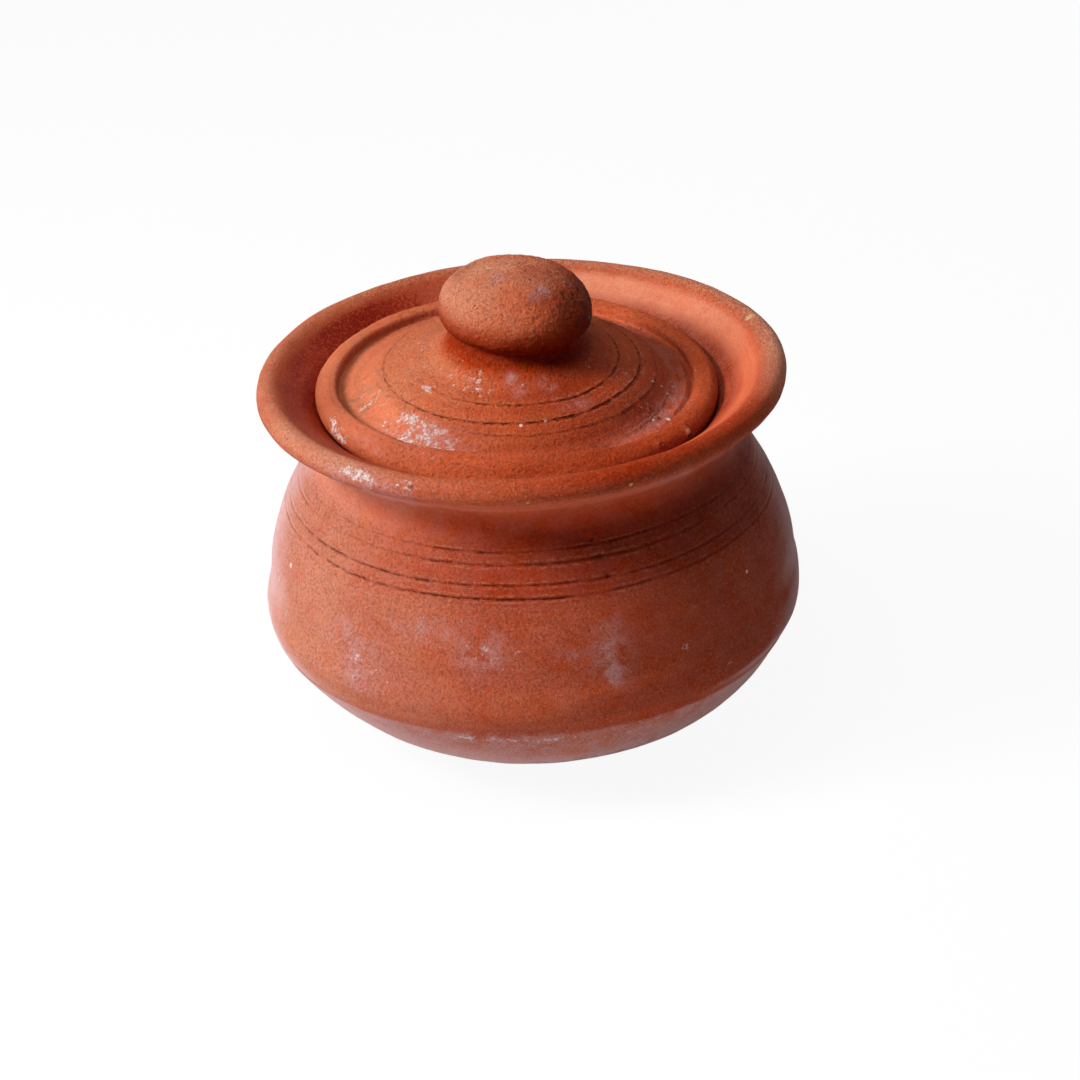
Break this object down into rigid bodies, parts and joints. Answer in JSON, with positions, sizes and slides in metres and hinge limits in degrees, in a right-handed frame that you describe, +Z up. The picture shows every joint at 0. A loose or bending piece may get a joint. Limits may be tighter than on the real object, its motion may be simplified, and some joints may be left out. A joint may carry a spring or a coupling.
{
  "type": "lidded terracotta pot",
  "caption": "Low round-bellied unglazed clay pot with a flared mouth and a loose domed lid that lifts off by its knob. It stands on a small flat under a rounded base.",
  "frame": {"origin": "middle of the flat spot that the pot stands on", "axes": "+Z up along the pot's turning axis; -Y is towards the viewer of the picture and +X to their right"},
  "size_m": [0.19, 0.19, 0.1663],
  "materials": {
    "pot_clay": "unglazed, matte, fine sand",
    "lid_clay": "unglazed, matte, sandy, with salt bloom",
    "knob_clay": "unglazed, matte, coarse sand, smoke marks"
  },
  "bodies": {
    "pot": {"pot": "pot_clay"},
    "lid": {"lid": "lid_clay", "lid_knob": "knob_clay"}
  },
  "joints": [
    {"name": "lid_lift", "type": "slide", "parent": "pot", "child": "lid", "axis": [0, 0, 1], "range_m": [0, 0.1]}
  ]
}
